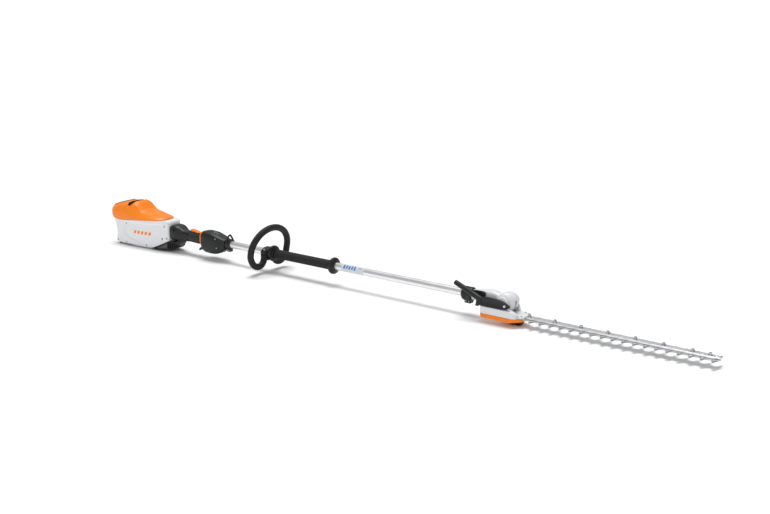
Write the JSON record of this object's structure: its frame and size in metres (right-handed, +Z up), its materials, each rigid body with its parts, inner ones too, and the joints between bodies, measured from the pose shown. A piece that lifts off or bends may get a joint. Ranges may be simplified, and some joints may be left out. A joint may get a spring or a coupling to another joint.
{
  "type": "long-reach hedge trimmer",
  "caption": "Battery long-reach hedge trimmer: rear power unit with battery, grip with trigger, tube shaft, loop handle, tilting head and two-sided cutter bar.",
  "frame": {"origin": "centre of the bounding box's base: mid-length, centre plane, on the floor that the feet stand on", "axes": "+X along the shaft towards the cutter bar's tip, +Z up, +Y to the tool's left"},
  "size_m": [2.4194, 0.204, 0.1648],
  "materials": {
    "light_grey_housing": "moulded light grey plastic, fine satin",
    "orange_housing": "moulded orange plastic, satin",
    "black_plastic": "moulded black plastic, matt",
    "black_rubber": "soft black rubber",
    "grip_foam": "closed-cell grip sleeve",
    "dark_grey_plastic": "dark grey plastic",
    "pale_grey_plastic": "pale grey battery face",
    "aluminium": "bright drawn aluminium",
    "steel": "ground steel",
    "copper": "wound stator, copper and iron",
    "circuit_board": "coated circuit board",
    "display_window": "dark display window",
    "bearing_bronze": "sintered bronze"
  },
  "bodies": {
    "frame": {"housing_left": "light_grey_housing", "housing_right": "light_grey_housing", "top_cover": "orange_housing", "battery_tray": "dark_grey_plastic", "contact_block": "black_plastic", "latch_bridge": "dark_grey_plastic", "controller_board": "circuit_board", "motor_stator": "copper", "motor_mount": "aluminium", "intake_frame": "black_plastic", "intake_mesh": "dark_grey_plastic", "rear_foot_left": "black_rubber", "rear_foot_right": "black_rubber", "joint_block": "black_plastic", "handle_left": "black_plastic", "handle_right": "black_plastic", "trigger_pin": "steel", "lockout_pin": "steel", "micro_switch": "dark_grey_plastic", "trim_ring": "orange_housing", "control_left": "black_plastic", "control_right": "black_plastic", "display_panel": "display_window", "shaft_tube": "aluminium", "shaft_bush_1": "bearing_bronze", "shaft_bush_2": "bearing_bronze", "carrying_eyelet": "black_plastic", "rear_collar": "black_plastic", "grip_sleeve": "grip_foam", "front_collar": "black_plastic", "head_clamp": "black_plastic", "gear_housing": "light_grey_housing"},
    "battery": {"battery_pack": "pale_grey_plastic"},
    "latch": {"battery_latch": "black_plastic"},
    "drive": {"motor_rotor": "steel", "cooling_fan": "dark_grey_plastic", "drive_shaft": "steel", "bevel_pinion": "steel"},
    "idler": {"bevel_gear": "steel"},
    "trigger_body": {"trigger": "black_plastic"},
    "lockout_body": {"lockout_lever": "orange_housing"},
    "button_body": {"mode_button": "dark_grey_plastic"},
    "loop_body": {"loop_handle": "black_rubber", "loop_clamp_cap": "black_plastic", "loop_screw_left": "steel", "loop_screw_right": "steel"},
    "head": {"cutter_housing": "light_grey_housing", "bottom_cover": "orange_housing", "rest_foot": "black_rubber", "adjust_handle": "black_plastic", "release_pin": "steel", "pivot_pin": "steel", "guide_bar": "aluminium"},
    "head_pinion_body": {"head_pinion": "steel"},
    "crank_body": {"crank_gear": "steel"},
    "release_body": {"release_lever": "black_plastic"},
    "upper_blade_body": {"upper_blade": "steel"},
    "lower_blade_body": {"lower_blade": "steel"}
  },
  "joints": [
    {"name": "battery_slide", "type": "slide", "parent": "frame", "child": "battery", "axis": [-0.3322, 0, 0.9432], "range_m": [0, 0.13]},
    {"name": "latch_hinge", "type": "hinge", "parent": "frame", "child": "latch", "pos_m": [-1.098, 0, 0.145], "axis": [0, 1, 0], "range_deg": [0, 4.5], "stiffness_Nm_per_rad": 0.6, "springref_deg": -8.59},
    {"name": "drive_spin", "type": "hinge", "parent": "frame", "child": "drive", "pos_m": [-0.988, 0, 0.065], "axis": [1, 0, 0], "continuous": true},
    {"name": "idler_spin", "type": "hinge", "parent": "frame", "child": "idler", "pos_m": [0.525, 0, 0.065], "axis": [0, 1, 0], "continuous": true},
    {"name": "head_tilt", "type": "hinge", "parent": "frame", "child": "head", "pos_m": [0.525, 0, 0.065], "axis": [0, -1, 0], "range_deg": [-45, 90]},
    {"name": "head_pinion_spin", "type": "hinge", "parent": "head", "child": "head_pinion_body", "pos_m": [0.525, 0, 0.045], "axis": [0, 0, 1], "continuous": true},
    {"name": "crank_spin", "type": "hinge", "parent": "head", "child": "crank_body", "pos_m": [0.554, 0, 0.029], "axis": [0, 0, 1], "continuous": true},
    {"name": "upper_blade_slide", "type": "slide", "parent": "head", "child": "upper_blade_body", "axis": [1, 0, 0], "range_m": [-0.0085, 0.0085]},
    {"name": "lower_blade_slide", "type": "slide", "parent": "head", "child": "lower_blade_body", "axis": [1, 0, 0], "range_m": [-0.0085, 0.0085]},
    {"name": "trigger_pull", "type": "hinge", "parent": "frame", "child": "trigger_body", "pos_m": [-0.724, 0, 0.045], "axis": [0, 1, 0], "range_deg": [0, 8], "stiffness_Nm_per_rad": 1.2, "springref_deg": -6.88},
    {"name": "lockout_press", "type": "hinge", "parent": "frame", "child": "lockout_body", "pos_m": [-0.776, 0, 0.0835], "axis": [0, -1, 0], "range_deg": [0, 6.5], "stiffness_Nm_per_rad": 0.8, "springref_deg": -6.88},
    {"name": "mode_press", "type": "slide", "parent": "frame", "child": "button_body", "axis": [0, 0, -1], "range_m": [0, 0.0015], "stiffness_N_per_m": 400, "springref_m": -0.001},
    {"name": "release_squeeze", "type": "hinge", "parent": "head", "child": "release_body", "pos_m": [0.452, -0.023, 0.073], "axis": [0, 1, 0], "range_deg": [0, 7], "stiffness_Nm_per_rad": 0.6, "springref_deg": -6.88},
    {"name": "loop_slide", "type": "slide", "parent": "frame", "child": "loop_body", "axis": [1, 0, 0], "range_m": [-0.14, 0]}
  ],
  "couplings": [
    {"joint": "idler_spin", "follows": "drive_spin", "ratio": 0.75},
    {"joint": "head_pinion_spin", "follows": "drive_spin", "ratio": -0.75},
    {"joint": "crank_spin", "follows": "drive_spin", "ratio": 0.375},
    {"joint": "lower_blade_slide", "follows": "upper_blade_slide", "ratio": -1}
  ]
}
